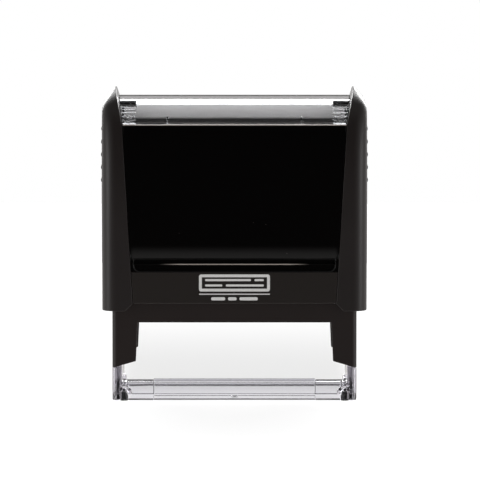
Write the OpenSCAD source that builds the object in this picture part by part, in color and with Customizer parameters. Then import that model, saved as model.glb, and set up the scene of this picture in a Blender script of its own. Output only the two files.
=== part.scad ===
// Self-inking office stamp: a sprung cap slides down over a fixed housing on a clear base,
// and a bow inside the cap carries the print die down while cam tracks turn it half a turn,
// from the ink pad above it to the paper below.
// Origin: centre of the footprint, on the plane where the rubber feet stand. +Z up, front at -Y.
// At rest the cap is up and the die faces up against the pad.

/* [Housing and base] */
// Width of the housing and of the base under it
house_w = 68.4; // [67.6:0.2:70]
// Depth of the housing and of the base under it
house_d = 36.8; // [36.4:0.2:37.2]
// Thickness of the housing's two end walls
end_wall = 4.0; // [3.8:0.1:4.4]
// Thickness of the housing's front and back walls
face_wall = 1.7; // [1.4:0.1:2]
// Height of the underside of the housing's cross bar
bar_z = 22.2; // [21.6:0.2:23]
// Height of the base's front wall
base_wall_z = 5.3; // [4.6:0.1:6]
// How far the rubber feet stand below the base
foot_proud = 0.3; // [0.2:0.05:0.4]

/* [Print die] */
// Width of the imprint
print_w = 58; // [50:1:58]
// Depth of the imprint
print_d = 22; // [18:1:22]
// Height of the die's axle with the cap up
axle_z = 26.2; // [26:0.1:26.4]
// Distance from the axle to the printing face
die_face = 4.5; // [4.3:0.1:4.6]
// Travel of the cap and the die
stroke = 21.6; // [21:0.1:21.6]
// Distance from the axle to the cam pin
cam_r = 4; // [3.8:0.1:4.2]

/* [Cap] */
// Width of the cap at its lower edge
cap_w = 74; // [74:0.2:76]
// Depth of the cap at its lower edge
cap_d = 42; // [42:0.2:43]
// Height of the top of the cheeks
cap_top = 87; // [86.6:0.2:88.4]
// Height of the lower edge of the front panel
cap_z = 27.8; // [27.4:0.1:28.2]
// Half width of the panel between the cheeks, at its lower edge
seam_x = 28.3; // [27.8:0.1:28.6]
// How much wider the panel gets for each mm of height
seam_slope = 0.06; // [0.05:0.002:0.064]
// Height of the top of the clear window
window_top = 84.7; // [84.4:0.1:85]

/* [Hidden] */
$fn = 40;

free = 0.05;          // gap between two fixed pieces that meet
over = 1;             // how far a cutter runs past the solid that it cuts

// housing
hx = house_w / 2;
hy = house_d / 2;
end_in = hx - end_wall;              // inner face of the end walls
face_in = hy - face_wall;            // inner face of the front and back walls
corner_r = 1.4;
leg_z = 9.4;                         // outer end of a leg
leg_in_z = 11.3;                     // inner end of a leg
leg_in_x = 27.6;                     // inner edge of a leg at its foot
bar_in_x = 27.1;                     // inner edge of a leg at the cross bar
deck_z = 41.6;                       // underside of the deck over the cartridge
deck_top = 43.5;
neck_z = 42;                         // above this the housing is narrower
neck_y = 16.6;
house_top = 50;
spring_post_r = 5;

// bow and its channels
channel_x = hx - 2;                  // floor of the channel in each end wall
channel_y = 5.2;
bow_x0 = channel_x + 0.15;
bow_x1 = hx - 0.2;
bow_y = 4.9;
bow_bridge_z = 77.4;
bow_bridge_t = 2.8;
bow_bridge_y = 6;
axle_r = 1.9;
axle_slot = 0.25;                    // clearance of the axle in the housing's slot
eye_clear = 0.05;                    // running clearance of the axle in the bow's eye
cam_pin_r = 1.3;
cam_clear = 0.25;
cam_depth = 1.2;
cam_steps = 36;

// base
base_wall = 1.8;
base_floor = 1.5;
post_x = 31.5;                       // inner face of the base's end posts
print_x = 30.2;                      // half width of the opening that the die prints through
print_y = 13.5;
foot_front = [31, -15.9];
foot_back = [32.5, 15.9];
foot_boss_r = 2.25;
back_boss_r = 1.65;
foot_boss_z = 4.3;
foot_stem_r = 0.55;
foot_head_r = 1.2;
foot_head_z = 2.6;
foot_stem_z = 3.4;
sight_x = 22.6;                      // half width of the sighting lip
sight_t = 0.9;                       // its thickness, and how far it stands above the wall
tongue_y = [10.8, 15.8];
tongue_top = 13.2;

// ink cartridge
bay_x = 31.2;
bay_z = 30.6;
tray_x = 31;
tray_y = 14;
tray_rim_z = 32.2;
tray_top = 41.3;
pad_x = 29.4;
pad_y = 12.4;
pad_gap = 0.05;                      // between the pad and the die at rest
tray_wall = 1.4;
handle_y = [16.9, 18.2];
handle_x = 30.6;
handle_z = [31, 41];

// die
carrier_x = 29.6;
carrier_y = 12;
carrier_top = 2;                     // above the axle
carrier_low = -2.3;
cushion_t = 0.8;
rubber_t = 1;

// cap
cap_clear = 0.4;                     // between the cap and the housing
cheek_z = 25.7;                      // lower edge of the cheeks
cheek_draft = 0.1;                   // how much each cheek leans out up to its shoulder
shoulder_z = 81.2;
arch_z = 38.5;                       // where the front starts to lean back
arch_n = 3.2;                        // exponent of the arch
arch_steps = 30;
panel_top = 77.6;
cavity_x = hx + cap_clear;
cavity_y = hy + cap_clear;
neck_cavity_y = neck_y + cap_clear;
plan_r = 4;
ear_slope = 0.2;                     // lean of the cheeks' inner faces beside the window
groove_z = [36.6, 38.9, 40.3];       // lower lip, ledge and upper lip of the thumb groove
groove_x = 28.2;
groove_r = 3;                        // radius of its lower corners
groove_d = [0.6, 1.5];               // depth below and above the ledge
notch_x = bay_x + 0.2;
notch_z = 47.5;                      // top of the opening for the cartridge in the cap's back

// window, card and the deck under them share one centre line
window_t = 1.2;
card_t = 0.3;
deck_t = 1.5;
panel_top_y = arch_y(panel_top);
window_rise = window_top - panel_top;
window_r = (panel_top_y * panel_top_y + window_rise * window_rise) / (2 * window_rise);
window_c = window_top - window_r;
card_r = window_r - window_t - 0.15;
deck_r = card_r - card_t - 0.05;
cavity_r = deck_r - deck_t;
card_x = 30.8;
card_y = 13.2;
peg_x = 29.6;
peg_y = 15.3;
peg_r = 0.7;
window_gap = 0.15;                   // between the window and the cheeks
finger_x = 27.6;                     // inner ends of the window's finger ribs
finger_a = 27;
finger_step = 3.6;
finger_ribs = 5;
vent_y = [7.2, 9.1];
foot_rib_x = 18.5;
finger_r = 0.32;

// grips and lock buttons
grip_z = [38.6, 78.4];
grip_y = 15;
grip_t = 0.9;
grip_proud = 0.1;
rib_r = 1.1;
rib_proud = 0.2;
rib_pitch = 3.5;
rib_count = 5;
button_z = 33;
button_h = 6;
button_y = 5.5;
button_flange_y = 10;
nub_y = 8;
nub_w = 3;
ledge_z = [29.6, 31.2];            // the button's nubs hook under this at 5 mm of travel

// main spring
spring_r = 6.5;
wire_r = 0.6;
spring_turns = 8;
end_turns = 1;                       // closed turns at each end

// y of the cap's outer face at height z, on the arch
function arch_y(z) = z <= arch_z ? cap_d / 2
    : cap_d / 2 * pow(1 - pow((z - arch_z) / (cap_top - arch_z), arch_n), 1 / arch_n);

// right half of an arch of half width a and height b that starts at z0
function arch_half(a, z0, b) = [for (i = [0 : arch_steps])
    let (t = 90 * i / arch_steps)
    [a * pow(cos(t), 2 / arch_n), z0 + b * pow(sin(t), 2 / arch_n)]];

// a closed outline from its right half, mirrored
function mirrored(half) = concat(half, [for (i = [len(half) - 1 : -1 : 0]) [-half[i][0], half[i][1]]]);

function seam_at(z) = z < panel_top ? seam_x + seam_slope * (z - cap_z)
    : seam_at(panel_top - 0.001) + ear_slope * (z - panel_top);
function cheek_at(z) = cap_w / 2 + cheek_draft * (z - cheek_z) / (shoulder_z - cheek_z);

// where the cam pin is when the cap is pressed by s, and the track's direction there
function turn_at(s) = 180 * s / stroke;
function pin_at(s) = [cam_r * cos(turn_at(s)), axle_z - s + cam_r * sin(turn_at(s))];
function unit(v) = v / norm(v);
function track_side(s, side) = let (d = 0.01, v = unit(pin_at(s + d) - pin_at(s - d)))
    pin_at(s) + side * (cam_pin_r + cam_clear) * [-v[1], v[0]];

module box(x, y, z) {
    translate([x[0], y[0], z[0]]) cube([x[1] - x[0], y[1] - y[0], z[1] - z[0]]);
}
module along_x(x) {
    translate([x[0], 0, 0]) rotate([90, 0, 90]) linear_extrude(x[1] - x[0]) children();
}
module along_y(y) {
    translate([0, y[1], 0]) rotate([90, 0, 0]) linear_extrude(y[1] - y[0]) children();
}
module both_x() {
    children();
    mirror([1, 0, 0]) children();
}
module both_y() {
    children();
    mirror([0, 1, 0]) children();
}
module pin_x(x, y, z, r) {
    translate([x[0], y, z]) rotate([0, 90, 0]) cylinder(r = r, h = x[1] - x[0]);
}
module rounded_block(w, d, r, z) {
    translate([0, 0, z[0]]) linear_extrude(z[1] - z[0]) union() {
        square([w - 2 * r, d], center = true);
        square([w, d - 2 * r], center = true);
        for (sx = [-1, 1], sy = [-1, 1]) translate([sx * (w / 2 - r), sy * (d / 2 - r)]) circle(r);
    }
}

// the bow's channel, the axle's slot and the cam track, cut into one end wall
module bow_channel(z0) {
    box([channel_x, hx + over], [-channel_y, channel_y], [z0, house_top + over]);
}
module axle_slot_cut() {
    slot_r = axle_r + axle_slot;
    for (z = [axle_z, axle_z - stroke]) pin_x([end_in - over, channel_x + over], 0, z, slot_r);
    box([end_in - over, channel_x + over], [-slot_r, slot_r], [axle_z - stroke, axle_z]);
}
module cam_track() {
    w = cam_pin_r + cam_clear;
    steps = [for (i = [0 : cam_steps]) i * stroke / cam_steps];
    along_x([end_in - over, end_in + cam_depth]) union() {
        polygon(concat([for (s = steps) track_side(s, 1)],
            [for (i = [cam_steps : -1 : 0]) track_side(steps[i], -1)]));
        for (s = [0, stroke]) translate(pin_at(s)) circle(w);
    }
}

// outline of the gap between the legs, seen from the front, down past the ends of the legs
module leg_gap() {
    polygon(mirrored([[hx + over, 0], [hx + over, leg_z - over * 0.3], [hx, leg_z], [leg_in_x, leg_in_z],
        [bar_in_x, bar_z]]));
}

module housing() color([0.13, 0.12, 0.12]) {
    slot_y = nub_y + nub_w / 2 + 0.2;
    difference() {
        union() {
            rounded_block(house_w, house_d, corner_r, [leg_z - over, neck_z]);
            rounded_block(house_w, 2 * neck_y, corner_r, [neck_z, house_top]);
        }
        along_y([-hy - over, hy + over]) leg_gap();
        box([-end_in, end_in], [-face_in, face_in], [0, bay_z + over]);
        box([-bay_x, bay_x], [-face_in, hy + over], [bay_z, deck_z]);
        box([-end_in, end_in], [-neck_y + face_wall, neck_y - face_wall], [deck_top, house_top + over]);
        both_x() {
            bow_channel(0);
            axle_slot_cut();
            cam_track();
            for (sy = [-1, 1]) {
                box([hx - 1, hx + over], [sy * nub_y - nub_w / 2 - 0.2, sy * nub_y + nub_w / 2 + 0.2],
                    [leg_z - over, ledge_z[0]]);
                box([hx - 1, hx + over], [sy * nub_y - nub_w / 2 - 0.2, sy * nub_y + nub_w / 2 + 0.2],
                    [ledge_z[1], house_top + over]);
            }
            both_y() box([31.9, 33.3], [tongue_y[0] - 0.1, tongue_y[1] + 0.1], [0, tongue_top + 0.3]);
        }
    }
    // stops for the front end of the cartridge
    both_x() box([16, 18], [-face_in - free, -tray_y - 0.15], [bay_z + 1.6, deck_z + free]);
    // seat of the main spring
    translate([0, 0, deck_top - free]) cylinder(r = spring_post_r, h = 4);
}

module base() color([0.85, 0.88, 0.92, 0.35]) {
    z0 = foot_proud;
    difference() {
        union() {
            rounded_block(house_w, house_d, corner_r, [z0, z0 + base_floor]);
            box([-post_x - over, post_x + over], [-hy, -hy + base_wall], [z0, base_wall_z]);
            intersection() {
                rounded_block(house_w, house_d, corner_r, [z0, leg_in_z]);
                both_x() along_y([-hy, hy]) polygon([[post_x, z0], [hx, z0], [hx, leg_z - free],
                    [post_x, leg_z + (leg_in_z - leg_z) * (hx - post_x) / (hx - leg_in_x) - free]]);
            }
            for (sx = [-1, 1]) {
                foot_boss(sx, foot_front, foot_boss_r);
                foot_boss(sx, foot_back, back_boss_r);
            }
            both_x() both_y() box([32, 33.2], tongue_y, [leg_z - over, tongue_top]);
            // sighting lip in the middle of the front wall
            box([-sight_x, sight_x], [-hy + base_wall - free, -hy + base_wall + sight_t],
                [z0, base_wall_z + sight_t]);
        }
        box([-print_x, print_x], [-print_y, print_y], [-over, leg_z * 2]);
        both_x() {
            bow_channel(z0 + 0.7);
            axle_slot_cut();
        }
        // relief along the lower edge of the front wall
        box([-sight_x, sight_x], [-hy - over, -hy + 0.5], [-over, z0 + 1.3]);
        for (sx = [-1, 1], place = [foot_front, foot_back]) translate([sx * place.x, place.y, 0]) {
            cylinder(r = foot_head_r + free, h = foot_head_z + free);
            cylinder(r = foot_stem_r + free, h = foot_stem_z + 0.2);
        }
    }
    // centre mark for lining up the imprint
    box([-0.8, 0.8], [-hy + 0.1, -hy + 0.5 + free], [z0 + 0.9, z0 + 1.7]);
}

// a boss of the base, round on top, that takes a foot
module foot_boss(sx, place, r) {
    translate([sx * place.x, place.y, 0]) intersection() {
        union() {
            cylinder(r = r, h = foot_boss_z - r);
            translate([0, 0, foot_boss_z - r]) sphere(r = r);
        }
        box([-r - over, r + over], [-r - over, r + over], [foot_proud, foot_boss_z + over]);
    }
}

module foot(sx, place) color([0.09, 0.09, 0.09]) {
    translate([sx * place.x, place.y, 0]) {
        cylinder(r = foot_head_r, h = foot_head_z);
        cylinder(r = foot_stem_r, h = foot_stem_z);
    }
}

// one ring of the spring's wire: a closed turn at each end and open turns between
function spring_z(t) = let (low = deck_top + wire_r, high = bow_bridge_z - wire_r,
        pitch = 2 * wire_r * 1.02, open = spring_turns - 2 * end_turns,
        rise = high - low - 2 * end_turns * pitch)
    t < end_turns ? low + t * pitch
    : t > spring_turns - end_turns ? high - (spring_turns - t) * pitch
    : low + end_turns * pitch + rise * (t - end_turns) / open;

module main_spring() color([0.72, 0.73, 0.75]) {
    per_turn = 18;
    sides = 8;
    rings = spring_turns * per_turn;
    points = [for (i = [0 : rings], k = [0 : sides - 1])
        let (a = 360 * i / per_turn, b = 360 * k / sides, r = spring_r + wire_r * cos(b))
        [r * cos(a), r * sin(a), spring_z(i / per_turn) + wire_r * sin(b)]];
    faces = concat(
        [[for (k = [0 : sides - 1]) k]],
        [for (i = [0 : rings - 1], k = [0 : sides - 1]) let (n = (k + 1) % sides)
            [i * sides + k, (i + 1) * sides + k, (i + 1) * sides + n, i * sides + n]],
        [[for (k = [sides - 1 : -1 : 0]) rings * sides + k]]);
    polyhedron(points = points, faces = faces, convexity = 10);
}

module cartridge_tray() color([0.16, 0.16, 0.17]) {
    difference() {
        union() {
            box([-tray_x, tray_x], [-tray_y, tray_y], [tray_rim_z, tray_top]);
            // skirts that run on the ledges of the end walls
            both_x() box([end_in + 0.1, tray_x], [-tray_y, tray_y], [bay_z + 0.1, tray_rim_z + free]);
            box([-handle_x, handle_x], handle_y, handle_z);
            both_x() box([14, 26], [tray_y - free, handle_y[0] + free], [handle_z[1] - 5, handle_z[1]]);
        }
        box([-pad_x - free, pad_x + free], [-pad_y - free, pad_y + free], [0, tray_top - tray_wall]);
        // finger recess in the handle
        box([-11, 11], [handle_y[1] - 0.7, handle_y[1] + over], [handle_z[0] + 2, handle_z[1] - 2]);
    }
    for (i = [-3 : 3]) box([i * 3 - 0.5, i * 3 + 0.5], [handle_y[1] - 0.7 - free, handle_y[1] - 0.2],
        [handle_z[0] + 2.5, handle_z[1] - 2.5]);
}

module ink_pad() color([0.12, 0.12, 0.2]) {
    box([-pad_x, pad_x], [-pad_y, pad_y], [axle_z + die_face + pad_gap, tray_top - tray_wall - free]);
}

module die_carrier() color([0.2, 0.2, 0.21]) translate([0, 0, axle_z]) {
    rim = 1.3;
    difference() {
        box([-carrier_x, carrier_x], [-carrier_y, carrier_y], [carrier_low, carrier_top]);
        box([-carrier_x + rim, carrier_x - rim], [-carrier_y + rim, carrier_y - rim],
            [carrier_low - over, 0.6]);
    }
    box([-carrier_x, carrier_x], [-2.4, 2.4], [carrier_low, 0.7]);
    for (i = [-2 : 2]) box([i * 11.5 - 0.5, i * 11.5 + 0.5], [-carrier_y, carrier_y],
        [carrier_low + 0.6, 0.7]);
    both_x() {
        pin_x([carrier_x - over, bow_x1 - 0.2], 0, 0, axle_r);
        pin_x([carrier_x - over, end_in + cam_depth - 0.3], cam_r, 0, cam_pin_r);
    }
}

module die_cushion() color([0.45, 0.45, 0.46]) {
    box([-print_w / 2, print_w / 2], [-print_d / 2, print_d / 2],
        [axle_z + carrier_top, axle_z + carrier_top + cushion_t]);
}

// the relief stands for a generic imprint: a border and rows of short bars
module rubber_die() color([0.32, 0.1, 0.1]) {
    z0 = axle_z + carrier_top + cushion_t;
    z1 = axle_z + die_face;
    line = 0.6;
    rows = 4;
    row_h = 1.9;
    row_pitch = 4.2;
    border = [print_w - 2, print_d - 1.6];
    box([-print_w / 2, print_w / 2], [-print_d / 2, print_d / 2], [z0, z0 + rubber_t]);
    translate([0, 0, z0 + rubber_t - free]) linear_extrude(z1 - z0 - rubber_t + free) {
        difference() {
            square(border, center = true);
            square(border - 2 * [line, line], center = true);
        }
        for (r = [0 : rows - 1], c = [0 : 4]) {
            w = 5 + 3 * ((r * 2 + c * 3) % 3);
            translate([-23 + c * 10.2, (r - (rows - 1) / 2) * row_pitch - row_h / 2])
                square([min(w, 9), row_h]);
        }
    }
}

module bow() color([0.17, 0.17, 0.18]) {
    both_x() difference() {
        union() {
            box([bow_x0, bow_x1], [-bow_y, bow_y], [axle_z, bow_bridge_z + 1]);
            pin_x([bow_x0, bow_x1], 0, axle_z, 3.4);
            box([bow_x0, bow_x1], [-3.4, 3.4], [axle_z - 1, axle_z + 1]);
        }
        pin_x([bow_x0 - over, bow_x1 + over], 0, axle_z, axle_r + eye_clear);
    }
    box([-bow_x1, bow_x1], [-bow_bridge_y, bow_bridge_y], [bow_bridge_z, bow_bridge_z + bow_bridge_t]);
    translate([0, 0, bow_bridge_z - 3]) cylinder(r = spring_post_r, h = 3 + free);
}

// outer form of the whole cap, before it is parted into its shell and its cheeks
module cap_form() {
    half_front = [[0, cap_z], [seam_x, cap_z], [hx, cheek_z - 0.1], [cap_w / 2, cheek_z],
        [cheek_at(shoulder_z), shoulder_z], [36.9, 82.9], [35.8, 84.5], [34.4, 86], [33.4, cap_top + free],
        [0, cap_top + free]];
    intersection() {
        along_x([-cap_w, cap_w]) polygon(concat(mirrored(concat([[cap_d / 2, 0]],
            arch_half(cap_d / 2, arch_z, cap_top - arch_z)))));
        along_y([-cap_d, cap_d]) polygon(mirrored(half_front));
        rounded_block(cap_w + 2 * cheek_draft, cap_d, plan_r, [0, cap_top + over]);
    }
}

// room inside the cap for the housing, the bow and the spring
module cap_cavity() {
    a0 = acos(neck_cavity_y / cavity_r);
    arc = [for (i = [0 : 12]) let (a = a0 + (90 - a0) * i / 12)
        [cavity_r * cos(a), window_c + cavity_r * sin(a)]];
    along_x([-cavity_x, cavity_x]) polygon(mirrored(concat([[cavity_y, 0], [cavity_y, neck_z + stroke + 0.6],
        [neck_cavity_y, neck_z + stroke + 1.9]], arc)));
}

// opening in the cap's back through which the ink cartridge comes out
module cartridge_notch() {
    box([-notch_x, notch_x], [0, cap_d], [0, notch_z]);
}

module between_seams(inset) {
    along_y([-cap_d, cap_d]) polygon(mirrored([for (z = [0, panel_top, cap_top + 5])
        [seam_at(z) - inset, z]]));
}

// groove across the front, stepped in at a ledge
module thumb_groove() {
    along_y([-cap_d, -cap_d / 2 + groove_d[0]]) union() {
        translate([-groove_x, groove_z[0] + groove_r])
            square([2 * groove_x, groove_z[2] - groove_z[0] - groove_r]);
        translate([-groove_x + groove_r, groove_z[0]]) square([2 * (groove_x - groove_r), groove_r + free]);
        for (sx = [-1, 1]) translate([sx * (groove_x - groove_r), groove_z[0] + groove_r]) circle(groove_r);
    }
    box([-groove_x, groove_x], [-cap_d, -cap_d / 2 + groove_d[1]], [groove_z[1], groove_z[2]]);
}

module cap_shell() color([0.03, 0.03, 0.03]) {
    // seats on the bow
    both_x() box([20, 22], [-5, 5], [bow_bridge_z + bow_bridge_t + free, window_c + cavity_r + 0.6]);
    difference() {
        intersection() {
            cap_form();
            between_seams(free / 2);
            union() {
                box([-cap_w, cap_w], [-cap_d, cap_d], [0, panel_top]);
                pin_x([-cap_w, cap_w], 0, window_c, deck_r);
            }
        }
        cap_cavity();
        cartridge_notch();
        thumb_groove();
        for (sx = [-1, 1], sy = [-1, 1]) translate([sx * peg_x, sy * peg_y, panel_top - 1.7])
            cylinder(r = peg_r + free, h = 3);
    }
}

// side view outline of a grip, grown by g
module grip_outline(g) {
    intersection() {
        polygon(mirrored(concat([[grip_y + g, 0]], arch_half(grip_y + g, arch_z, grip_z[1] - arch_z + g))));
        translate([-cap_d, grip_z[0] - g]) square([2 * cap_d, cap_top]);
    }
}

module cheek() color([0.16, 0.15, 0.15]) {
    flange = [button_flange_y + 0.2, button_h / 2 + 0.6];
    difference() {
        intersection() {
            cap_form();
            box([0, cap_w], [-cap_d, cap_d], [0, cap_top + over]);
        }
        between_seams(-free / 2);
        cap_cavity();
        cartridge_notch();
        intersection() {
            along_x([cap_w / 2 - grip_t, cap_w]) grip_outline(free);
            along_y([-cap_d, cap_d]) polygon([for (z = [0, cap_top]) [cheek_at(z) - grip_t + grip_proud, z],
                [cap_w, cap_top], [cap_w, 0]]);
        }
        box([cavity_x - over, 36.25], [-flange[0], flange[0]], [button_z - flange[1], button_z + flange[1]]);
        box([36, cap_w], [-button_y - 0.15, button_y + 0.15],
            [button_z - button_h / 2 - 0.15, button_z + button_h / 2 + 0.15]);
    }
}

module grip() color([0.1, 0.1, 0.1]) {
    back = [for (z = [0, cap_top]) [cheek_at(z) - grip_t + grip_proud + free, z]];
    face = [for (z = [cap_top, 0]) [cheek_at(z) + grip_proud, z]];
    intersection() {
        along_x([cap_w / 2 - grip_t, cap_w]) grip_outline(0);
        along_y([-cap_d, cap_d]) polygon(concat(back, [[cap_w, cap_top], [cap_w, 0]]));
        union() {
            along_y([-cap_d, cap_d]) polygon(concat(back, face));
            for (i = [0 : rib_count - 1]) let (z = grip_z[1] - 2.5 - i * rib_pitch)
                translate([cheek_at(z) + grip_proud + rib_proud - rib_r, 0, z]) rotate([90, 0, 0])
                    cylinder(r = rib_r, h = 2 * grip_y, center = true);
        }
    }
}

module window() color([0.9, 0.92, 0.95, 0.3]) {
    rim_y = [sqrt(deck_r * deck_r - pow(panel_top - window_c, 2)) + 0.6, panel_top_y - 0.3];
    difference() {
        intersection() {
            union() {
                difference() {
                    pin_x([-cap_w, cap_w], 0, window_c, window_r);
                    pin_x([-cap_w - over, cap_w + over], 0, window_c, window_r - window_t);
                }
                both_y() box([-cap_w, cap_w], rim_y, [panel_top, panel_top + 1.4]);
                both_x() both_y() for (i = [0 : finger_ribs - 1]) window_rib(i);
                // small ribs that stiffen the foot
                both_x() both_y() box([foot_rib_x, foot_rib_x + 0.4], [14.4, 16.2],
                    [panel_top, panel_top + 2.2]);
            }
            between_seams(window_gap);
            box([-cap_w, cap_w], [-cap_d, cap_d], [panel_top + free, cap_top]);
        }
        pin_x([-cap_w, cap_w], 0, window_c, card_r + free);
        // vent slots above the finger ribs
        both_x() both_y() box([finger_x, cap_w], vent_y, [panel_top + 2, cap_top]);
    }
    for (sx = [-1, 1], sy = [-1, 1]) translate([sx * peg_x, sy * peg_y, panel_top - 1.5])
        cylinder(r = peg_r, h = 2);
}

// one of the ribs across an end of the window, counted from the vent down
module window_rib(i) {
    a = finger_a + i * finger_step;
    r = window_r - 0.15;
    pin_x([finger_x, cap_w], r * sin(a), window_c + r * cos(a), finger_r);
}

module index_card() color([0.96, 0.96, 0.95]) {
    intersection() {
        difference() {
            pin_x([-card_x, card_x], 0, window_c, card_r);
            pin_x([-card_x - over, card_x + over], 0, window_c, card_r - card_t);
        }
        difference() {
            box([-cap_w, cap_w], [-card_y, card_y], [window_c, cap_top]);
            // notches under the window's vents
            both_x() both_y() box([finger_x - 0.2, cap_w], [vent_y[0] - 0.2, vent_y[1] + 0.2],
                [window_c, cap_top]);
        }
    }
}

module lock_button() color([0.2, 0.2, 0.2]) {
    x0 = 35.35;
    x1 = 36.2;
    box([x0, x1], [-button_flange_y, button_flange_y],
        [button_z - button_h / 2 - 0.4, button_z + button_h / 2 + 0.4]);
    box([x1 - free, cheek_at(button_z) - 0.1], [-button_y, button_y],
        [button_z - button_h / 2, button_z + button_h / 2]);
    both_y() box([hx + 0.25, x0 + free], [nub_y - nub_w / 2, nub_y + nub_w / 2],
        [button_z - nub_w / 2, button_z + nub_w / 2]);
}

// a bowed leaf between the bow and the button
module lock_spring() color([0.72, 0.73, 0.75]) {
    half = 4;
    t = 0.2;
    rise = 35.3 - bow_x1 - free - t;
    r = (half * half + rise * rise) / (2 * rise);
    a1 = asin(half / r);
    x_c = 35.3 - t - r;
    arc = [for (i = [-8 : 8]) i * a1 / 8];
    translate([0, 0, button_z - 1.5]) linear_extrude(3) polygon(concat(
        [for (a = arc) [x_c + r * cos(a), r * sin(a)]],
        [for (i = [8 : -1 : -8]) let (a = i * a1 / 8) [x_c + (r + t) * cos(a), (r + t) * sin(a)]]));
}

base();
foot(-1, foot_front);  // foot_front_left
foot(1, foot_front);  // foot_front_right
foot(-1, foot_back);  // foot_back_left
foot(1, foot_back);  // foot_back_right
housing();
main_spring();
cartridge_tray();
ink_pad();
die_carrier();
die_cushion();
rubber_die();
bow();
cap_shell();
mirror([1, 0, 0]) cheek();  // cheek_left
cheek();  // cheek_right
mirror([1, 0, 0]) grip();  // grip_left
grip();  // grip_right
window();
index_card();
mirror([1, 0, 0]) lock_button();  // lock_button_left
lock_button();  // lock_button_right
mirror([1, 0, 0]) lock_spring();  // lock_spring_left
lock_spring();  // lock_spring_right
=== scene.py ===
import math

import bmesh
import bpy
import numpy as np
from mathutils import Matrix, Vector


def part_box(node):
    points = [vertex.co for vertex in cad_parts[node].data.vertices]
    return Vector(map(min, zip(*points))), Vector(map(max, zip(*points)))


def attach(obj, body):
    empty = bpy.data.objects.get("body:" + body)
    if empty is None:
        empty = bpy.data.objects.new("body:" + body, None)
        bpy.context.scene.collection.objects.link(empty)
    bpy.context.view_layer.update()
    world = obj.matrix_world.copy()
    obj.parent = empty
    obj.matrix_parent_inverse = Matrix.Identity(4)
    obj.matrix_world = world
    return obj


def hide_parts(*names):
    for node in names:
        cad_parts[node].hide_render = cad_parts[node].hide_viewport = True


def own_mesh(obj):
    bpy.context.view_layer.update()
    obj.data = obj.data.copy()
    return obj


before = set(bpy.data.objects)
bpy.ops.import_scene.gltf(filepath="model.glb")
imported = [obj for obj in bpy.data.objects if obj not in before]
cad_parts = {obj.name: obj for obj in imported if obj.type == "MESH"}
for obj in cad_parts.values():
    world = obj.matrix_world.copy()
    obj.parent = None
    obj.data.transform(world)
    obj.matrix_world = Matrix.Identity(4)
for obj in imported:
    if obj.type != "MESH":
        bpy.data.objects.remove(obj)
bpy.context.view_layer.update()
bpy.ops.object.select_all(action="DESELECT")
mm = 0.001


# Camera: a long lens level with the cap, looking straight at the front and a little down.
camera_height = math.radians(5.5)
camera_distance = 1.6
picture_width = 0.1341
target = Vector((1.55 * mm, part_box("base")[0].y, 45.4 * mm))

bpy.ops.object.camera_add()
camera = bpy.context.object
camera.name = "camera"
towards = Vector((0, -math.cos(camera_height), math.sin(camera_height)))
camera.location = target + camera_distance * towards
camera.rotation_euler = (math.pi / 2 - camera_height, 0, 0)
camera.data.sensor_width = 36
camera.data.lens = 36 * camera_distance / picture_width
camera.data.clip_end = 20
bpy.context.scene.camera = camera
bpy.context.scene.view_settings.view_transform = "Standard"


# Studio: a long soft box above and behind the stamp gives the light, with two rim lights beside
# it and two fill lights at the sides. Black cloth behind the camera keeps the gloss panel dark.
# The floor is a white light table whose glow is dimmed behind the stamp by a painted shadow.
def add_node(tree, kind, inputs=None, **settings):
    """Adds a node. Inputs that are sockets are linked, the others are set."""
    node = tree.nodes.new(kind)
    for name, value in settings.items():
        setattr(node, name, value)
    for name, value in (inputs or {}).items():
        if isinstance(value, bpy.types.NodeSocket):
            tree.links.new(value, node.inputs[name])
        else:
            node.inputs[name].default_value = value
    return node


def linear(colour):
    """An sRGB hex colour in linear light, with an alpha of 1."""
    parts = [int(colour[i:i + 2], 16) / 255 for i in (1, 3, 5)]
    return [c / 12.92 if c <= 0.04045 else ((c + 0.055) / 1.055) ** 2.4 for c in parts] + [1]


def new_material(name):
    """A material with its node tree, its shader and the piece's own coordinates."""
    material = bpy.data.materials.new(name)
    material.use_nodes = True
    tree = material.node_tree
    shader = tree.nodes["Principled BSDF"]
    place = add_node(tree, "ShaderNodeTexCoord").outputs["Object"]
    return material, tree, shader, place


def add_softbox(name, place, size, power):
    bpy.ops.object.light_add(type="AREA", location=place)
    light = bpy.context.object
    light.name = name
    light.data.shape = "RECTANGLE"
    light.data.size, light.data.size_y = size
    light.data.energy = power
    light.rotation_euler = (Vector((0, 0, 0.04)) - light.location).to_track_quat("-Z", "Y").to_euler()
    light.visible_camera = False
    return light


add_softbox("back_strip_softbox", (0, 0.92, 0.88), (2.4, 0.34), 13)
for side_name, sign in (("left", -1), ("right", 1)):
    add_softbox(side_name + "_softbox", (sign * 0.9, -0.35, 0.12), (0.4, 0.5), 1.3)
    add_softbox(side_name + "_rim_softbox", (sign * 0.56, 0.96, 0.46), (0.5, 0.5), 11)

world = bpy.data.worlds.new("studio")
bpy.context.scene.world = world
world.use_nodes = True
sky = world.node_tree
sky.nodes.clear()
direction = add_node(sky, "ShaderNodeSeparateXYZ",
                     {"Vector": add_node(sky, "ShaderNodeTexCoord").outputs["Generated"]})


def ramp(tree, value, low, high):
    """Rises smoothly from 0 to 1 as value goes from low to high."""
    return add_node(tree, "ShaderNodeMapRange", {"Value": value, "From Min": low, "From Max": high},
                    interpolation_type="SMOOTHSTEP").outputs["Result"]


def calc(tree, operation, a, b):
    return add_node(tree, "ShaderNodeMath", {0: a, 1: b}, operation=operation).outputs[0]


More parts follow.
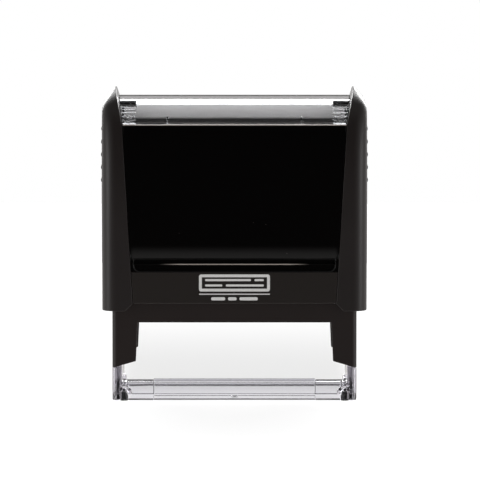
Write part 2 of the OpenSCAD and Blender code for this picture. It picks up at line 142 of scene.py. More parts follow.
side = calc(sky, "ABSOLUTE", direction.outputs["X"], 0)
ahead = ramp(sky, direction.outputs["Y"], 0.15, -0.25)
centre = ramp(sky, side, 0.62, 0.42)
above_floor = ramp(sky, direction.outputs["Z"], -0.30, -0.12)
below_top = ramp(sky, direction.outputs["Z"], 0.90, 0.76)
cloth = calc(sky, "MULTIPLY", calc(sky, "MULTIPLY", ahead, centre),
             calc(sky, "MULTIPLY", above_floor, below_top))
low_wall = calc(sky, "ADD", 0.1, calc(sky, "MULTIPLY", ramp(sky, direction.outputs["Z"], 0.8, 0.55), 0.36))
under_horizon = ramp(sky, direction.outputs["Z"], -0.02, -0.06)
low_wall = calc(sky, "ADD", low_wall, calc(sky, "MULTIPLY", under_horizon, 0.26))
wall_light = add_node(sky, "ShaderNodeMix", {"Factor": ahead, 2: low_wall, 3: 0.3},
                      data_type="FLOAT").outputs[0]
flag = calc(sky, "MULTIPLY", ramp(sky, side, 0.14, 0.1), ramp(sky, direction.outputs["Y"], 0.5, 0.7))
flag = calc(sky, "MULTIPLY", flag, ramp(sky, direction.outputs["Z"], 0.2, 0.16))
flag = calc(sky, "MULTIPLY", flag, ramp(sky, direction.outputs["Z"], -0.06, -0.02))
dark = calc(sky, "MAXIMUM", calc(sky, "MULTIPLY", cloth, 0.965), calc(sky, "MULTIPLY", flag, 0.9))
room = calc(sky, "MULTIPLY", wall_light, calc(sky, "SUBTRACT", 1.0, dark))
room_light = add_node(sky, "ShaderNodeBackground", {"Color": linear("#fffdfb"), "Strength": room})
backdrop = add_node(sky, "ShaderNodeBackground", {"Color": (1, 1, 1, 1), "Strength": 1.0})
seen = add_node(sky, "ShaderNodeLightPath").outputs["Is Camera Ray"]
mixed = add_node(sky, "ShaderNodeMixShader", {0: seen, 1: room_light.outputs[0], 2: backdrop.outputs[0]})
add_node(sky, "ShaderNodeOutputWorld", {"Surface": mixed.outputs[0]})

bpy.ops.mesh.primitive_plane_add(size=1.2)
floor = bpy.context.object
floor.name = "floor"
board, tree, shader, place = new_material("opal acrylic, lit from below")
shader.inputs["Base Color"].default_value = linear("#5c5c5c")
shader.inputs["Roughness"].default_value = 0.5
shader.inputs["Specular IOR Level"].default_value = 0.1
shader.inputs["Emission Color"].default_value = (1, 1, 1, 1)
at = add_node(tree, "ShaderNodeSeparateXYZ", {"Vector": place}).outputs
# A patch of the floor behind the stamp glows less: a painted shadow.
beside = ramp(tree, calc(tree, "ABSOLUTE", at["X"], 0), 38 * mm, 29 * mm)
behind = calc(tree, "MULTIPLY", ramp(tree, at["Y"], -0.01, 0.02), ramp(tree, at["Y"], 0.30, 0.05))
painted_shadow = calc(tree, "MULTIPLY", beside, behind)
glow = calc(tree, "SUBTRACT", 0.9, calc(tree, "MULTIPLY", painted_shadow, 0.3))
tree.links.new(glow, shader.inputs["Emission Strength"])
floor.data.materials.append(board)
floor.visible_glossy = False


# Housing: the black frame that stands on the base. One ABS moulding with two legs, a cross bar
# and an open back for the cartridge, textured by spark erosion so that it looks satin.
def pick(kind, test):
    """In edit mode, selects only the vertices, edges or faces that pass the test."""
    bpy.ops.mesh.select_mode(type=kind)
    bpy.ops.mesh.select_all(action="DESELECT")
    shape = bmesh.from_edit_mesh(bpy.context.object.data)
    for part in {"VERT": shape.verts, "EDGE": shape.edges, "FACE": shape.faces}[kind]:
        if test(part):
            part.select_set(True)
    shape.select_flush_mode()
    bmesh.update_edit_mesh(bpy.context.object.data)


def only(piece):
    """Makes a piece the only one selected."""
    bpy.ops.object.select_all(action="DESELECT")
    piece.select_set(True)
    bpy.context.view_layer.objects.active = piece


def apply_modifier(piece, kind, **settings):
    only(piece)
    modifier = piece.modifiers.new(kind.lower(), kind)
    for name, value in settings.items():
        setattr(modifier, name, value)
    bpy.ops.object.modifier_apply(modifier=modifier.name)


def round_edges(piece, width, segments=2, angle=30, leave=None):
    """Rounds a piece over at its sharp edges, except those to leave, and smooths the rest."""
    only(piece)
    bpy.ops.object.mode_set(mode="EDIT")
    pick("EDGE", lambda edge: edge.is_manifold and edge.calc_face_angle() > math.radians(angle)
         and not (leave and leave(edge)))
    bpy.ops.transform.edge_bevelweight(value=1)
    bpy.ops.object.mode_set(mode="OBJECT")
    apply_modifier(piece, "BEVEL", width=width, segments=segments, limit_method="WEIGHT",
                   use_clamp_overlap=False, miter_outer="MITER_ARC", harden_normals=False)
    only(piece)
    bpy.ops.object.shade_smooth_by_angle(angle=math.radians(angle))
    apply_modifier(piece, "WEIGHTED_NORMAL", keep_sharp=True)


def moulded_copy(node, width, segments=2, angle=30, parted_x=(0,), parted_y=(0,), leave=None):
    """A copy of a CAD node, welded, with flat faces made whole and its edges rounded. Faces that
    run round a hole are parted, at the given distances in mm, so that they stay simple."""
    piece = bpy.data.objects.new(node + "_moulding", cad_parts[node].data.copy())
    bpy.context.collection.objects.link(piece)
    only(piece)
    bpy.ops.object.mode_set(mode="EDIT")
    bpy.ops.mesh.select_all(action="SELECT")
    bpy.ops.mesh.remove_doubles(threshold=0.002 * mm)
    bpy.ops.mesh.customdata_custom_splitnormals_clear()
    bpy.ops.mesh.dissolve_limited(angle_limit=math.radians(0.2))
    for x in parted_x:
        bpy.ops.mesh.select_all(action="SELECT")
        bpy.ops.mesh.bisect(plane_co=(x * mm, 0, 0), plane_no=(1, 0, 0))
    for y in parted_y:
        bpy.ops.mesh.select_all(action="SELECT")
        bpy.ops.mesh.bisect(plane_co=(0, y * mm, 0), plane_no=(0, 1, 0))
    bpy.ops.object.mode_set(mode="OBJECT")
    round_edges(piece, width, segments, angle, leave)
    return piece


def settle(piece, name, body, slot, material, *nodes):
    """Names a finished piece, gives it its material, ties it to its body, and hides the CAD nodes it
    replaces.
    """
    piece.name = piece.data.name = name
    piece.data.materials.clear()
    piece.data.materials.append(material)
    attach(piece, body)
    if nodes:
        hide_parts(*nodes)


def grained_plastic(name, colour, worn, roughness, grain, depth):
    """Black ABS from a spark-eroded mould: a satin skin with a fine pebble grain."""
    material, tree, shader, place = new_material(name)
    patches = add_node(tree, "ShaderNodeTexNoise", {"Vector": place, "Scale": 1 / (14 * mm), "Detail": 3})
    tone = add_node(tree, "ShaderNodeMix", {"Factor": patches.outputs["Fac"], 6: linear(colour),
                                            7: linear(worn)}, data_type="RGBA")
    tree.links.new(tone.outputs[2], shader.inputs["Base Color"])
    pebbles = add_node(tree, "ShaderNodeTexNoise", {"Vector": place, "Scale": 1 / grain, "Detail": 2,
                                                    "Roughness": 0.6})
    skin = add_node(tree, "ShaderNodeMapRange", {"Value": pebbles.outputs["Fac"], "To Min": roughness - 0.05,
                                                 "To Max": roughness + 0.07})
    tree.links.new(skin.outputs[0], shader.inputs["Roughness"])
    bump = add_node(tree, "ShaderNodeBump", {"Height": pebbles.outputs["Fac"], "Distance": depth,
                                             "Strength": 0.6})
    tree.links.new(bump.outputs[0], shader.inputs["Normal"])
    shader.inputs["IOR"].default_value = 1.54
    return material


housing_abs = grained_plastic("satin black ABS, housing", "#201816", "#261c1a", 0.44, 0.35 * mm, 0.01 * mm)
neck_height = 42 * mm
shoulder_corner = 32.7 * mm


def at_shoulder_corner(edge):
    """True for the edges where the two outlines of the housing touch, which can't be rounded."""
    return all(abs(v.co.z - neck_height) < 0.01 * mm and abs(v.co.x) > shoulder_corner for v in edge.verts)


housing = moulded_copy("housing", 0.22 * mm, 3, parted_y=(0, -8, 8, -12.5, 12.5), leave=at_shoulder_corner)
settle(housing, "housing_frame", "stand", "housing_plastic", housing_abs, "housing")


# Base: the clear plate that the stamp stands on. Injection-moulded styrene, polished, so that
# its rims and end posts show as bright and dark lines. The end posts also carry a painted shade.
def clear_plastic(name, colour, waviness):
    """Polished styrene: clear, with a faint waviness from the mould."""
    material, tree, shader, place = new_material(name)
    shader.inputs["Base Color"].default_value = linear(colour)
    shader.inputs["Transmission Weight"].default_value = 1.0
    shader.inputs["IOR"].default_value = 1.57
    shader.inputs["Roughness"].default_value = 0.015
    waves = add_node(tree, "ShaderNodeTexNoise", {"Vector": place, "Scale": 1 / (6 * mm), "Detail": 1})
    bump = add_node(tree, "ShaderNodeBump", {"Height": waves.outputs["Fac"], "Distance": 0.02 * mm,
                                             "Strength": waviness})
    tree.links.new(bump.outputs[0], shader.inputs["Normal"])
    return material


def painted_shade_at_ends(material, start, middle, end):
    """Darkens clear plastic past a half width, over the end posts: painted shade for the dark they show where
    one looks through their whole depth.
    """
    tree = material.node_tree
    place = tree.nodes["Texture Coordinate"].outputs["Object"]
    at = add_node(tree, "ShaderNodeSeparateXYZ", {"Vector": place}).outputs
    across = calc(tree, "ABSOLUTE", at["X"], 0)
    tint = add_node(tree, "ShaderNodeMix", {"Factor": ramp(tree, across, start, start + 0.4 * mm),
                                            6: linear(middle), 7: linear(end)}, data_type="RGBA")
    tree.links.new(tint.outputs[2], tree.nodes["Principled BSDF"].inputs["Base Color"])


base_styrene = clear_plastic("clear polished styrene, base", "#dedde1", 0.12)
# The end posts are tinted darker: painted shade.
painted_shade_at_ends(base_styrene, 30.9 * mm, "#dedde1", "#a9a6ac")
base = moulded_copy("base", 0.18 * mm, 3, parted_y=(0, -12, 12, -15.9, 15.9))
base.visible_shadow = False
settle(base, "base_clear", "stand", "clear_plastic", base_styrene, "base")


# Feet: four dark rubber plugs pushed up into the bosses in the corners of the base.
def soft_rubber(name, colour, grain):
    """Moulded rubber: dull, with a fine dusty grain."""
    material, tree, shader, place = new_material(name)
    dust = add_node(tree, "ShaderNodeTexNoise", {"Vector": place, "Scale": 1 / grain, "Detail": 4})
    tone = add_node(tree, "ShaderNodeMapRange", {"Value": dust.outputs["Fac"], "To Min": 0.55, "To Max": 0.8})
    tree.links.new(tone.outputs[0], shader.inputs["Roughness"])
    bump = add_node(tree, "ShaderNodeBump", {"Height": dust.outputs["Fac"], "Distance": 0.012 * mm})
    tree.links.new(bump.outputs[0], shader.inputs["Normal"])
    shader.inputs["Base Color"].default_value = linear(colour)
    shader.inputs["IOR"].default_value = 1.52
    shader.inputs["Sheen Weight"].default_value = 0.08
    return material


foot_rubber = soft_rubber("moulded black rubber", "#191818", 0.25 * mm)
for corner in ("front_left", "front_right", "back_left", "back_right"):
    foot = moulded_copy("foot_" + corner, 0.12 * mm, 3)
    settle(foot, "rubber_foot_" + corner, "stand", "foot_rubber", foot_rubber, "foot_" + corner)


# Cap: one outer form, parted at two seams into a gloss centre shell and two matte cheeks.
# The front and back lean in along an arch, and the cheeks end in ears beside the window.
cap_low, cap_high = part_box("cheek_left")[0].z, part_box("cheek_left")[1].z
cap_half_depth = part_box("cap_shell")[1].y
arch_foot = 38.5 * mm
arch_power = 3.2
panel_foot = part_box("cap_shell")[0].z
panel_head = 77.6 * mm
seam_foot = 28.3 * mm
seam_lean = 0.06
ear_lean = 0.2
shoulder = [(25.7, 37.0), (80.6, 37.1), (82.0, 37.02), (83.0, 36.8), (84.0, 36.1), (85.0, 35.25),
            (86.0, 34.35), (87.0, 33.4)]


def lofted_block(sections, corner, segments=8):
    """A block with round upright edges, that follows sections of height, half width and half depth."""
    low, high = sections[0][0], sections[-1][0]
    width, depth = (max(s[i] for s in sections) for i in (1, 2))
    bpy.ops.object.select_all(action="DESELECT")
    bpy.ops.mesh.primitive_cube_add(size=1)
    block = bpy.context.object
    bpy.ops.object.mode_set(mode="EDIT")
    bpy.ops.transform.resize(value=(2 * width, 2 * depth, high - low))
    bpy.ops.transform.translate(value=(0, 0, (low + high) / 2))
    pick("EDGE", lambda edge: abs(edge.verts[0].co.z - edge.verts[1].co.z) > 0.5 * (high - low))
    bpy.ops.mesh.bevel(offset=corner, segments=segments, affect="EDGES")
    for z, *_ in sections[1:-1]:
        bpy.ops.mesh.select_all(action="SELECT")
        bpy.ops.mesh.bisect(plane_co=(0, 0, z), plane_no=(0, 0, 1))
    for z, half_width, half_depth in sections:
        pick("VERT", lambda vert: abs(vert.co.z - z) < 0.001 * mm)
        bpy.ops.transform.resize(value=(half_width / width, half_depth / depth, 1))
    bpy.ops.object.mode_set(mode="OBJECT")
    return block


def cut_away(piece, point, normal):
    """Cuts a piece by a plane, closes it, and throws away what is on the normal's side."""
    only(piece)
    bpy.ops.object.mode_set(mode="EDIT")
    bpy.ops.mesh.select_all(action="SELECT")
    bpy.ops.mesh.bisect(plane_co=point, plane_no=normal, use_fill=True, clear_outer=True)
    bpy.ops.object.mode_set(mode="OBJECT")


def cut_with(piece, tool, operation="DIFFERENCE"):
    """Cuts a piece with a tool body, and throws the tool away."""
    apply_modifier(piece, "BOOLEAN", object=tool, operation=operation, solver="EXACT")
    bpy.data.objects.remove(tool)


def clean(piece):
    """Welds what the cuts left and makes flat faces whole."""
    only(piece)
    bpy.ops.object.mode_set(mode="EDIT")
    bpy.ops.mesh.select_all(action="SELECT")
    bpy.ops.mesh.remove_doubles(threshold=0.004 * mm)
    bpy.ops.mesh.dissolve_limited(angle_limit=math.radians(0.1))
    bpy.ops.object.mode_set(mode="OBJECT")


def block(low, high):
    """A plain block between any two opposite corners, for cutting."""
    low, high = Vector(map(min, low, high)), Vector(map(max, low, high))
    bpy.ops.object.select_all(action="DESELECT")
    bpy.ops.mesh.primitive_cube_add(size=1, location=(low + high) / 2)
    made = bpy.context.object
    made.scale = high - low
    bpy.ops.object.transform_apply()
    return made


def arch_sections():
    """Heights, half widths and half depths of the cap, closer together where it turns over."""
    heights, widths = zip(*[(z * mm, x * mm) for z, x in shoulder])
    rows = [(cap_low, cap_half_depth)]
    for angle in [4, *range(10, 46, 6), *range(45, 88, 3), 88]:
        turn = math.radians(angle)
        z = arch_foot + (cap_high - arch_foot) * math.sin(turn) ** (2 / arch_power)
        rows.append((z, cap_half_depth * math.cos(turn) ** (2 / arch_power)))
    rows.append((cap_high, 0.5 * rows[-1][1]))
    return [(z, float(np.interp(z, heights, widths)), y) for z, y in rows]


def cap_blank():
    return lofted_block(arch_sections(), 4 * mm)


def cap_hollow():
    """The room inside the cap for the housing, the bow and the spring."""
    half_width, half_depth, neck = 34.6 * mm, 18.8 * mm, 17 * mm
    arc_radius, arc_centre = 20.5 * mm, 61.0 * mm
    start = math.acos(neck / arc_radius)
    rows = [(20 * mm, half_depth), (64.2 * mm, half_depth), (65.5 * mm, neck)]
    for i in range(9):
        turn = start + (math.radians(86) - start) * i / 8
        rows.append((arc_centre + arc_radius * math.sin(turn), arc_radius * math.cos(turn)))
    return lofted_block([(z, half_width, y) for z, y in rows], 0.4 * mm, 2)


def cartridge_notch():
    return block((-31.4 * mm, 0, 0), (31.4 * mm, 60 * mm, 47.5 * mm))


matte_abs = grained_plastic("satin black ABS, cheeks", "#211c1b", "#272120", 0.38, 0.3 * mm, 0.008 * mm)
gap = 0.12 * mm
for side_name, sign in (("left", -1), ("right", 1)):
    cheek = cap_blank()
    cut_with(cheek, cap_hollow())
    cut_away(cheek, (sign * (seam_foot + gap), 0, panel_foot), (-sign, 0, seam_lean))
    knee = seam_foot + gap + seam_lean * (panel_head - panel_foot)
    cut_away(cheek, (sign * knee, 0, panel_head), (-sign, 0, ear_lean))
    cut_away(cheek, (sign * seam_foot, 0, panel_foot), (-sign * 2.2, 0, -5.9))
    cut_with(cheek, cartridge_notch())
    low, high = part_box("lock_button_" + side_name)
    low, high = low - Vector((2, 0.15, 0.15)) * mm, high + Vector((2, 0.15, 0.15)) * mm
    half = 5.65 * mm
    cut_with(cheek, block((low.x, -half, low.z + 0.4 * mm), (high.x, half, high.z - 0.4 * mm)))
    clean(cheek)
    round_edges(cheek, 0.25 * mm, 3, 28)
    settle(cheek, "cheek_" + side_name + "_moulding", "cap", "matte_black_plastic", matte_abs,
           "cheek_" + side_name)


# Centre shell of the cap: ABS from a polished mould, high gloss. Its lower edge is a plainer
# band under a thumb groove, and the panel above swells slightly over the groove.
def gloss_plastic(name, band, highlight_heights):
    """Polished black ABS, a clean dark mirror with specks of dust. Below the height of the band
    it is satin, and along the edges at the given heights it is painted lighter: a painted highlight."""
    material, tree, shader, place = new_material(name)
    at = add_node(tree, "ShaderNodeSeparateXYZ", {"Vector": place}).outputs
    satin = ramp(tree, at["Z"], band + 0.1 * mm, band - 0.2 * mm)
    along = ramp(tree, calc(tree, "ABSOLUTE", at["X"], 0), 21.5 * mm, 14 * mm)
    # Thin light lines along the groove's ledge and the panel's top edge are painted highlights.
    ledge, rim = [calc(tree, "ABSOLUTE", calc(tree, "SUBTRACT", at["Z"], height), 0) for height in highlight_heights]
    painted_highlight = calc(tree, "ADD", calc(tree, "MULTIPLY", along, ramp(tree, ledge, 0.2 * mm, 0.08 * mm)),
                 ramp(tree, rim, 0.2 * mm, 0.1 * mm))
    specks = add_node(tree, "ShaderNodeTexVoronoi", {"Vector": place, "Scale": 1 / (5 * mm),
                                                     "Randomness": 1.0})
    dust = ramp(tree, specks.outputs["Distance"], 0.03, 0.016)
    tone = add_node(tree, "ShaderNodeMix", {"Factor": dust, 6: linear("#060505"), 7: linear("#4a4644")},
                    data_type="RGBA")
    tone = add_node(tree, "ShaderNodeMix", {"Factor": satin, 6: tone.outputs[2], 7: linear("#221c19")},
                    data_type="RGBA")
    tone = add_node(tree, "ShaderNodeMix", {"Factor": painted_highlight, 6: tone.outputs[2], 7: linear("#cfc5bd")},
                    data_type="RGBA")
    tree.links.new(tone.outputs[2], shader.inputs["Base Color"])
    skin = calc(tree, "ADD", 0.07, calc(tree, "MULTIPLY", satin, 0.33))
    tree.links.new(skin, shader.inputs["Roughness"])
    ripple = add_node(tree, "ShaderNodeTexNoise", {"Vector": place, "Scale": 1 / (9 * mm), "Detail": 1})
    bump = add_node(tree, "ShaderNodeBump", {"Height": ripple.outputs["Fac"], "Distance": 0.02 * mm,
                                             "Strength": 0.25})
    tree.links.new(bump.outputs[0], shader.inputs["Normal"])
    shader.inputs["IOR"].default_value = 1.54
    return material


def rod_across(radius, half_length, y, z, vertices=192):
    """A round rod that lies from left to right."""
    bpy.ops.object.select_all(action="DESELECT")
    bpy.ops.mesh.primitive_cylinder_add(vertices=vertices, radius=radius, depth=2 * half_length,
                                        location=(0, y, z), rotation=(0, math.pi / 2, 0))
    bpy.ops.object.transform_apply()
    return bpy.context.object


def cut_at_seams(piece, foot, height, lean):
    """Trims both ends of a piece along leaning planes."""
    for sign in (-1, 1):
        cut_away(piece, (sign * foot, 0, height), (sign, 0, -lean))


window_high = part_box("window")[1]
card_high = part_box("index_card")[1].z
window_radius = 23.64 * mm
window_wall = 1.2 * mm
arc_middle = window_high.z - window_radius
deck_radius = card_high - 0.35 * mm - arc_middle

seam_knee = seam_foot + seam_lean * (panel_head - panel_foot)
shell = cap_blank()
cut_away(shell, (0, 0, panel_head), (0, 0, 1))
cut_away(shell, (0, 0, panel_foot), (0, 0, -1))
cut_at_seams(shell, seam_foot, panel_foot, seam_lean)
deck = rod_across(deck_radius, 40 * mm, 0, arc_middle)
cut_away(deck, (0, 0, panel_head - 1.2 * mm), (0, 0, -1))
cut_at_seams(deck, seam_knee, panel_head, ear_lean)
cut_with(shell, deck, "UNION")
cut_with(shell, cap_hollow())
cut_with(shell, cartridge_notch())
groove_low, groove_ledge, groove_high = 36.6 * mm, 38.9 * mm, 40.3 * mm
groove_half = 28.2 * mm
front = -cap_half_depth
only(shell)
bpy.ops.object.mode_set(mode="EDIT")
for x in (-groove_half, groove_half):
    bpy.ops.mesh.select_all(action="SELECT")
    bpy.ops.mesh.bisect(plane_co=(x, 0, 0), plane_no=(1, 0, 0))
rows = [groove_high + (0.9 * i - 0.1) * mm for i in range(-1, 6)]
for height in rows:
    bpy.ops.mesh.select_all(action="SELECT")
    bpy.ops.mesh.bisect(plane_co=(0, 0, height), plane_no=(0, 0, 1))
for i, height in enumerate(rows[1:]):
    pick("VERT", lambda vert: abs(vert.co.z - height) < 0.01 * mm and vert.co.y < front + 0.1 * mm
         and abs(vert.co.x) < groove_half + 0.1 * mm)
    bpy.ops.transform.translate(value=(0, 0.28 * mm * (1 - i / 5) ** 2, 0))
bpy.ops.object.mode_set(mode="OBJECT")
cut_with(shell, block((-groove_half, front - mm, groove_ledge), (groove_half, front + 1.5 * mm, groove_high)))
scoop = block((-groove_half, front - mm, groove_low),
              (groove_half, front + 0.6 * mm, groove_ledge + 0.05 * mm))
only(scoop)
bpy.ops.object.mode_set(mode="EDIT")
pick("EDGE", lambda edge: all(v.co.z < groove_low + 0.1 * mm for v in edge.verts)
     and abs(edge.verts[0].co.y - edge.verts[1].co.y) > mm)
bpy.ops.mesh.bevel(offset=2 * mm, segments=8, affect="EDGES")
bpy.ops.object.mode_set(mode="OBJECT")
cut_with(shell, scoop)
clean(shell)
round_edges(shell, 0.25 * mm, 3, 28)
# The groove's ledge and the panel's top edge carry painted highlights.
settle(shell, "cap_centre_shell", "cap", "gloss_black_plastic",
       gloss_plastic("polished black ABS", groove_low,
                     (groove_ledge - 0.12 * mm, panel_head - 0.1 * mm)), "cap_shell")


# Mark on the band under the groove: a white pad print. It is a plain pictogram of an imprint,
# a frame with bars in it, and a rule with short bars below.
def printed_bar(low, high):
    """One flat bar of print ink on the band, with rounded corners."""
    made = block((low[0], front - 0.02 * mm, low[1]), (high[0], front + 0.05 * mm, high[1]))
    only(made)
    bpy.ops.object.mode_set(mode="EDIT")
    pick("EDGE", lambda edge: abs(edge.verts[0].co.y - edge.verts[1].co.y) > 0.01 * mm)
    bpy.ops.mesh.bevel(offset=min(0.6 * mm, 0.4 * (high[1] - low[1])), segments=5, affect="EDGES")
    bpy.ops.object.mode_set(mode="OBJECT")
    return made


def join_pieces(parts):
    only(parts[0])
    for part in parts[1:]:
        part.select_set(True)
    bpy.ops.object.join()
    return parts[0]


def pad_print_ink():
    """White pad-print ink: an even, slightly chalky film."""
    material, tree, shader, place = new_material("white pad-print ink")
    film = add_node(tree, "ShaderNodeTexNoise", {"Vector": place, "Scale": 1 / (0.5 * mm), "Detail": 3})
    tone = add_node(tree, "ShaderNodeMix", {"Factor": film.outputs["Fac"], 6: linear("#d9d7d5"),
                                            7: linear("#f4f3f1")}, data_type="RGBA")
    tree.links.new(tone.outputs[2], shader.inputs["Base Color"])
    shader.inputs["Roughness"].default_value = 0.5
    return material


frame_bar = printed_bar((-9.9 * mm, 31.2 * mm), (9.9 * mm, 36 * mm))
hole = block((-9.1 * mm, front - mm, 32 * mm), (9.1 * mm, front + mm, 35.2 * mm))
cut_with(frame_bar, hole)
bars = [frame_bar]
for low_x, high_x, low_z in ((-8.2, 4.6, 34.1), (5.6, 8.2, 34.1), (-8.2, -3.4, 32.6), (-2.4, 8.2, 32.6)):
    bars.append(printed_bar((low_x * mm, low_z * mm), (high_x * mm, (low_z + 0.6) * mm)))
bars.append(printed_bar((-9.9 * mm, 30.3 * mm), (9.9 * mm, 30.6 * mm)))
for low_x, high_x in ((-6.5, -2.6), (-1.8, 0.6), (1.4, 6.5)):
    bars.append(printed_bar((low_x * mm, 28.7 * mm), (high_x * mm, 29.6 * mm)))
mark = join_pieces(bars)
settle(mark, "printed_mark", "cap", "card_paper", pad_print_ink())


# Grips: soft ribbed inlays in the cheeks, moulded in a thermoplastic elastomer.
grip_rubber = soft_rubber("matte black elastomer, grips", "#171414", 0.18 * mm)
for side_name in ("left", "right"):
    grip = moulded_copy("grip_" + side_name, 0.1 * mm, 2, 35)
    settle(grip, "ribbed_grip_" + side_name, "cap", "grip_elastomer", grip_rubber, "grip_" + side_name)


# Index card: a blank strip of coated card that curves over the deck, under the window.
def coated_card():
    """Coated white card: smooth, with faint fibres in it."""
    material, tree, shader, place = new_material("coated white card")
    pulp = add_node(tree, "ShaderNodeMapping", {"Vector": place, "Scale": (1, 4, 4)})
    fibres = add_node(tree, "ShaderNodeTexNoise", {"Vector": pulp.outputs[0], "Scale": 1 / (0.8 * mm),
                                                   "Detail": 5})
    tone = add_node(tree, "ShaderNodeMix", {"Factor": fibres.outputs["Fac"], 6: linear("#cfccca"),
                                            7: linear("#dcdad8")}, data_type="RGBA")
    tree.links.new(tone.outputs[2], shader.inputs["Base Color"])
    bump = add_node(tree, "ShaderNodeBump", {"Height": fibres.outputs["Fac"], "Distance": 0.01 * mm,
                                             "Strength": 0.4})
    tree.links.new(bump.outputs[0], shader.inputs["Normal"])
    shader.inputs["Roughness"].default_value = 0.6
    return material


vent_x = 27.6 * mm
vent_in, vent_out = 7.2 * mm, 9.1 * mm
past_end = 40 * mm
card_low, card_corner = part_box("index_card")
card_radius = card_corner.z - arc_middle
card = rod_across(card_radius, card_corner.x, 0, arc_middle)
cut_with(card, rod_across(card_radius - 0.3 * mm, card_corner.x + mm, 0, arc_middle))
for sign in (-1, 1):
    cut_away(card, (0, sign * card_corner.y, 0), (0, sign, 0))
    for side_sign in (-1, 1):
        cut_with(card, block((side_sign * (vent_x - 0.2 * mm), sign * (vent_in - 0.2 * mm), 80 * mm),
                             (side_sign * past_end, sign * (vent_out + 0.2 * mm), 90 * mm)))
cut_away(card, (0, 0, card_low.z - mm), (0, 0, -1))
clean(card)
round_edges(card, 0.05 * mm, 2, 40)
settle(card, "index_card_blank", "cap", "card_paper", coated_card(), "index_card")


# Window: a clear cover that snaps down over the card. It has a foot along its front and back,
# five finger ribs and a vent at each corner, and the raised rims of its four pegs.
window = rod_across(window_radius, past_end, 0, arc_middle, 256)
cut_with(window, rod_across(window_radius - window_wall, past_end + mm, 0, arc_middle, 256))
window_foot = panel_head + 0.05 * mm
cut_away(window, (0, 0, window_foot), (0, 0, -1))
foot_line = 16.5 * mm
tick_x = 18.7 * mm
tick_half = 0.2 * mm
peg_x, peg_turn = 29.6 * mm, math.radians(41)
for sign in (-1, 1):
    strip = block((-past_end, sign * 15.1 * mm, window_foot),
                  (past_end, sign * foot_line, window_foot + 0.7 * mm))
    only(strip)
    bpy.ops.object.mode_set(mode="EDIT")
    pick("VERT", lambda vert: vert.co.z > window_foot + 0.5 * mm and abs(vert.co.y) > 16 * mm)
    bpy.ops.transform.translate(value=(0, 0, -0.45 * mm))
    bpy.ops.object.mode_set(mode="OBJECT")
    cut_with(window, strip, "UNION")
    for x in (-tick_x, tick_x):
        tick = block((x - tick_half, sign * 14.2 * mm, window_foot + 0.2 * mm),
                     (x + tick_half, sign * 16.2 * mm, window_foot + 2.2 * mm))
        cut_with(window, tick, "UNION")
    for i in range(5):
        turn = math.radians(27 + 3.6 * i)
        reach = window_radius - 0.15 * mm
        rib = rod_across(0.32 * mm, 36 * mm, sign * reach * math.sin(turn),
                         arc_middle + reach * math.cos(turn), 20)
        cut_with(rib, block((-vent_x, -30 * mm, 70 * mm), (vent_x, 30 * mm, 90 * mm)))
        cut_with(window, rib, "UNION")
cut_at_seams(window, seam_knee - 0.15 * mm, panel_head, ear_lean)
for sign in (-1, 1):
    for side_sign in (-1, 1):
        vent = block((side_sign * vent_x, sign * vent_in, 80 * mm),
                     (side_sign * past_end, sign * vent_out, 90 * mm))
        cut_with(window, vent)
        reach = window_radius - 0.12 * mm
        bpy.ops.object.select_all(action="DESELECT")
        bpy.ops.mesh.primitive_torus_add(major_segments=40, minor_segments=12, major_radius=1.05 * mm,
                                         minor_radius=0.36 * mm, rotation=(-sign * peg_turn, 0, 0),
                                         location=(side_sign * peg_x, sign * reach * math.sin(peg_turn),
                                                   arc_middle + reach * math.cos(peg_turn)))
        bpy.ops.object.transform_apply()
        cut_with(window, bpy.context.object, "UNION")
clean(window)
round_edges(window, 0.12 * mm, 2, 35)
window.visible_shadow = False
window_styrene = clear_plastic("clear polished styrene", "#f6f7fa", 0.05)
settle(window, "window_clear", "window", "clear_plastic", window_styrene, "window")


# Lock buttons: flush keys in the cheeks, each pressed out by a small bowed leaf spring.
def plain_plastic(name, colour, roughness):
    """ABS from a plain tool: an even skin with soft moulding marks."""
    material, tree, shader, place = new_material(name)
    flow = add_node(tree, "ShaderNodeTexNoise", {"Vector": place, "Scale": 1 / (5 * mm), "Detail": 4})
    tone = add_node(tree, "ShaderNodeMapRange", {"Value": flow.outputs["Fac"], "To Min": roughness - 0.06,
                                                 "To Max": roughness + 0.08})
    tree.links.new(tone.outputs[0], shader.inputs["Roughness"])
    fine = add_node(tree, "ShaderNodeTexNoise", {"Vector": place, "Scale": 1 / (0.4 * mm)})
    bump = add_node(tree, "ShaderNodeBump", {"Height": fine.outputs["Fac"], "Distance": 0.006 * mm,
                                             "Strength": 0.5})
    tree.links.new(bump.outputs[0], shader.inputs["Normal"])
    shader.inputs["Base Color"].default_value = linear(colour)
    shader.inputs["IOR"].default_value = 1.54
    return material


def drawn_steel():
    """Spring steel, drawn or rolled bright: fine streaks and a soft metal shine."""
    material, tree, shader, place = new_material("bright spring steel")
    streaks = add_node(tree, "ShaderNodeTexNoise", {"Vector": place, "Scale": 1 / (0.6 * mm), "Detail": 4})
    tone = add_node(tree, "ShaderNodeMapRange", {"Value": streaks.outputs["Fac"], "To Min": 0.2,
                                                 "To Max": 0.38})
    tree.links.new(tone.outputs[0], shader.inputs["Roughness"])
    tint = add_node(tree, "ShaderNodeMix", {"Factor": streaks.outputs["Fac"], 6: linear("#b9babd"),
                                            7: linear("#cfcfd1")}, data_type="RGBA")
    tree.links.new(tint.outputs[2], shader.inputs["Base Color"])
    shader.inputs["Metallic"].default_value = 1.0
    return material


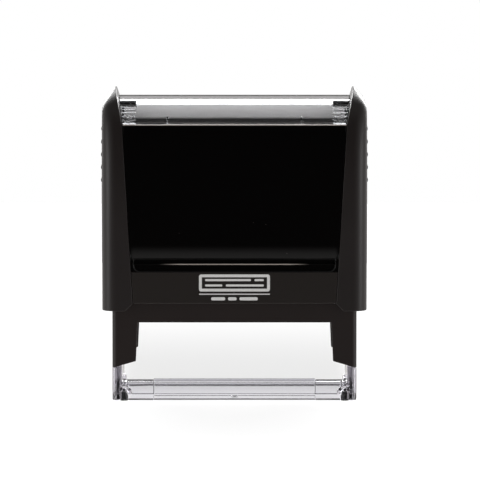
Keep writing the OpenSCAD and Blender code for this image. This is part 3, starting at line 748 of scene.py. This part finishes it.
inner_abs = plain_plastic("plain black ABS, inner parts", "#232325", 0.38)
steel = drawn_steel()
for side_name, sign in (("left", -1), ("right", 1)):
    button = moulded_copy("lock_button_" + side_name, 0.3 * mm, 3)
    settle(button, "lock_key_" + side_name, "button_" + side_name, "matte_black_plastic", matte_abs,
           "lock_button_" + side_name)
    leaf = moulded_copy("lock_spring_" + side_name, 0.04 * mm, 2, 40)
    settle(leaf, "leaf_spring_" + side_name, "cap", "spring_steel", steel, "lock_spring_" + side_name)
    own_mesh(leaf)


# Bow: the U-shaped bracket inside the cap, whose two legs carry the die's axle.
bow = moulded_copy("bow", 0.3 * mm, 3)
settle(bow, "bow_bracket", "cap", "inner_plastic", inner_abs, "bow")


# Main spring: one coil of spring wire between the housing and the bow.
spring = moulded_copy("main_spring", 0.01 * mm, 1, 80, parted_x=(), parted_y=())
spring.data.polygons.foreach_set("use_smooth", [True] * len(spring.data.polygons))
settle(spring, "coil_spring", "stand", "spring_steel", steel, "main_spring")
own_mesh(spring)


# Ink cartridge: a tray with a handle at the back, and the felt that holds the ink.
def inked_felt():
    """Felt soaked with dark blue ink: short matted fibres, damp in places."""
    material, tree, shader, place = new_material("ink-soaked felt")
    fibres = add_node(tree, "ShaderNodeTexNoise", {"Vector": place, "Scale": 1 / (0.35 * mm), "Detail": 6,
                                                   "Distortion": 1.5})
    tone = add_node(tree, "ShaderNodeMix", {"Factor": fibres.outputs["Fac"], 6: linear("#10122a"),
                                            7: linear("#23264f")}, data_type="RGBA")
    tree.links.new(tone.outputs[2], shader.inputs["Base Color"])
    damp = add_node(tree, "ShaderNodeTexNoise", {"Vector": place, "Scale": 1 / (7 * mm), "Detail": 3})
    wet = add_node(tree, "ShaderNodeMapRange", {"Value": damp.outputs["Fac"], "To Min": 0.35, "To Max": 0.9})
    tree.links.new(wet.outputs[0], shader.inputs["Roughness"])
    bump = add_node(tree, "ShaderNodeBump", {"Height": fibres.outputs["Fac"], "Distance": 0.12 * mm})
    tree.links.new(bump.outputs[0], shader.inputs["Normal"])
    shader.inputs["Sheen Weight"].default_value = 0.25
    return material


tray = moulded_copy("cartridge_tray", 0.2 * mm, 3, parted_x=range(-9, 10, 3))
settle(tray, "cartridge_tray_moulding", "cartridge", "inner_plastic", inner_abs, "cartridge_tray")
pad = moulded_copy("ink_pad", 0.5 * mm, 4)
settle(pad, "felt_ink_pad", "cartridge", "pad_felt", inked_felt(), "ink_pad")


# Die: the ribbed carrier with its axle and cam pins, a foam cushion, and the engraved rubber.
def cell_foam():
    """Closed-cell foam: grey, with small round pores."""
    material, tree, shader, place = new_material("closed-cell foam")
    pores = add_node(tree, "ShaderNodeTexVoronoi", {"Vector": place, "Scale": 1 / (0.5 * mm)})
    tone = add_node(tree, "ShaderNodeMix", {"Factor": pores.outputs["Distance"], 6: linear("#75777a"),
                                            7: linear("#96989b")}, data_type="RGBA")
    tree.links.new(tone.outputs[2], shader.inputs["Base Color"])
    bump = add_node(tree, "ShaderNodeBump", {"Height": pores.outputs["Distance"], "Distance": 0.1 * mm})
    tree.links.new(bump.outputs[0], shader.inputs["Normal"])
    shader.inputs["Roughness"].default_value = 0.85
    return material


carrier = moulded_copy("die_carrier", 0.15 * mm, 2)
settle(carrier, "die_carrier_moulding", "die", "inner_plastic", inner_abs, "die_carrier")
cushion = moulded_copy("die_cushion", 0.12 * mm, 3)
settle(cushion, "foam_die_cushion", "die", "cushion_foam", cell_foam(), "die_cushion")
die = moulded_copy("rubber_die", 0.06 * mm, 2)
settle(die, "engraved_rubber_die", "die", "die_rubber",
       soft_rubber("laser-engraved rubber", "#6d3028", 0.15 * mm), "rubber_die")
